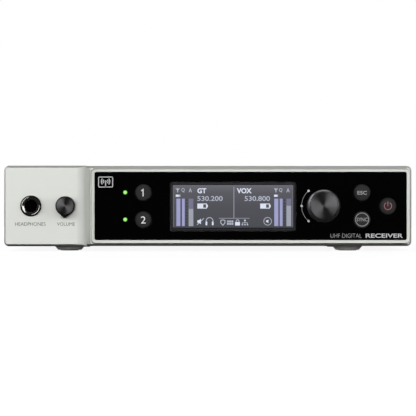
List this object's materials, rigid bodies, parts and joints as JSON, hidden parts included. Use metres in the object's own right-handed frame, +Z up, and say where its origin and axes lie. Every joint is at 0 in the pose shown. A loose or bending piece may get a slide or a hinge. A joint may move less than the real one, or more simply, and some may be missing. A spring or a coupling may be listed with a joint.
{
  "type": "wireless microphone receiver",
  "caption": "Half-width rack receiver with a black display panel, push keys, a menu dial, a headphone socket with volume knob, and rear antenna, audio and network sockets.",
  "frame": {"origin": "centre of the footprint on the plane the feet stand on", "axes": "+X to the right seen from the front, +Y towards the rear sockets, +Z up"},
  "size_m": [0.212, 0.189, 0.0444],
  "materials": {
    "light_grey_paint": "satin powder coat",
    "soft_rubber": "matt",
    "black_gloss_panel": "high gloss",
    "display_bezel_plastic": "fine matt",
    "display_glass": "polished, backlit",
    "white_plastic": "matt",
    "polyimide_film": "satin",
    "key_plastic": "fine matt",
    "black_anodised_aluminium": "satin anodised",
    "spun_grey_aluminium": "circular spun finish, anodised",
    "ground_steel": "ground",
    "ivory_plastic": "matt",
    "pressed_steel": "plated",
    "component_case": "matt",
    "nickel_plate": "bright nickel",
    "black_oxide_steel": "black oxide",
    "black_moulding": "matt",
    "green_circuit_board": "solder mask",
    "led_lens": "clear green, lit",
    "brass": "turned",
    "capacitor_sleeve": "shrink sleeve",
    "tinned_steel": "tin plate",
    "grey_cable": "satin",
    "brown_cable": "satin",
    "white_insulator": "waxy",
    "black_painted_zinc": "fine texture",
    "gold_plate": "polished"
  },
  "bodies": {
    "case": {"base_tray": "light_grey_paint", "top_cover": "light_grey_paint", "front_bezel": "light_grey_paint", "rear_panel": "light_grey_paint", "foot_pads": "soft_rubber", "black_panel": "black_gloss_panel", "display_frame": "display_bezel_plastic", "display_glass": "display_glass", "display_backlight": "white_plastic", "display_flex": "polyimide_film", "board_screws": "ground_steel", "front_board_screws": "ground_steel", "board_connectors": "ivory_plastic", "encoder_body": "pressed_steel", "rack_inserts": "pressed_steel", "volume_potentiometer": "component_case", "headphone_bushing": "nickel_plate", "output_jack_bushings": "nickel_plate", "jack_contacts": "nickel_plate", "dc_pin": "nickel_plate", "antenna_nuts": "nickel_plate", "antenna_sockets": "nickel_plate", "headphone_nut": "black_oxide_steel", "output_jack_nuts": "black_oxide_steel", "case_screws": "black_oxide_steel", "socket_screws": "black_oxide_steel", "headphone_jack": "black_moulding", "output_jacks": "black_moulding", "xlr_inserts": "black_moulding", "dc_inlet": "black_moulding", "cable_hook": "black_moulding", "chip_packages": "black_moulding", "tact_switches": "black_moulding", "headphone_board": "green_circuit_board", "front_board": "green_circuit_board", "main_board": "green_circuit_board", "status_leds": "led_lens", "light_pipes": "led_lens", "board_standoffs": "brass", "capacitors": "capacitor_sleeve", "rf_shields": "tinned_steel", "ethernet_socket": "tinned_steel", "ribbon_cables": "grey_cable", "coax_leads": "brown_cable", "antenna_insulators": "white_insulator", "xlr_shells": "black_painted_zinc", "socket_pins": "gold_plate", "ethernet_contacts": "gold_plate"},
    "channel_1_key": {"channel_1_button": "key_plastic"},
    "channel_2_key": {"channel_2_button": "key_plastic"},
    "escape_key": {"escape_button": "key_plastic"},
    "sync_key": {"sync_button": "key_plastic"},
    "power_key": {"power_button": "key_plastic"},
    "dial_press": {"encoder_plunger": "ivory_plastic"},
    "dial": {"menu_dial": "black_anodised_aluminium", "menu_dial_cap": "spun_grey_aluminium", "encoder_shaft": "ground_steel"},
    "volume": {"volume_knob": "black_anodised_aluminium", "volume_knob_cap": "spun_grey_aluminium", "volume_shaft": "ground_steel"}
  },
  "joints": [
    {"name": "channel_1_press", "type": "slide", "parent": "case", "child": "channel_1_key", "axis": [0, 1, 0], "range_m": [0, 0.0005], "stiffness_N_per_m": 800},
    {"name": "channel_2_press", "type": "slide", "parent": "case", "child": "channel_2_key", "axis": [0, 1, 0], "range_m": [0, 0.0005], "stiffness_N_per_m": 800},
    {"name": "escape_press", "type": "slide", "parent": "case", "child": "escape_key", "axis": [0, 1, 0], "range_m": [0, 0.0005], "stiffness_N_per_m": 800},
    {"name": "sync_press", "type": "slide", "parent": "case", "child": "sync_key", "axis": [0, 1, 0], "range_m": [0, 0.0005], "stiffness_N_per_m": 800},
    {"name": "power_press", "type": "slide", "parent": "case", "child": "power_key", "axis": [0, 1, 0], "range_m": [0, 0.0005], "stiffness_N_per_m": 800},
    {"name": "dial_push", "type": "slide", "parent": "case", "child": "dial_press", "axis": [0, 1, 0], "range_m": [0, 0.0006], "stiffness_N_per_m": 800},
    {"name": "dial_turn", "type": "hinge", "parent": "dial_press", "child": "dial", "pos_m": [0.0595, -0.0807, 0.0235], "axis": [0, 1, 0], "continuous": true},
    {"name": "volume_turn", "type": "hinge", "parent": "case", "child": "volume", "pos_m": [-0.0737, -0.0865, 0.0235], "axis": [0, 1, 0], "range_deg": [0, 300]}
  ]
}
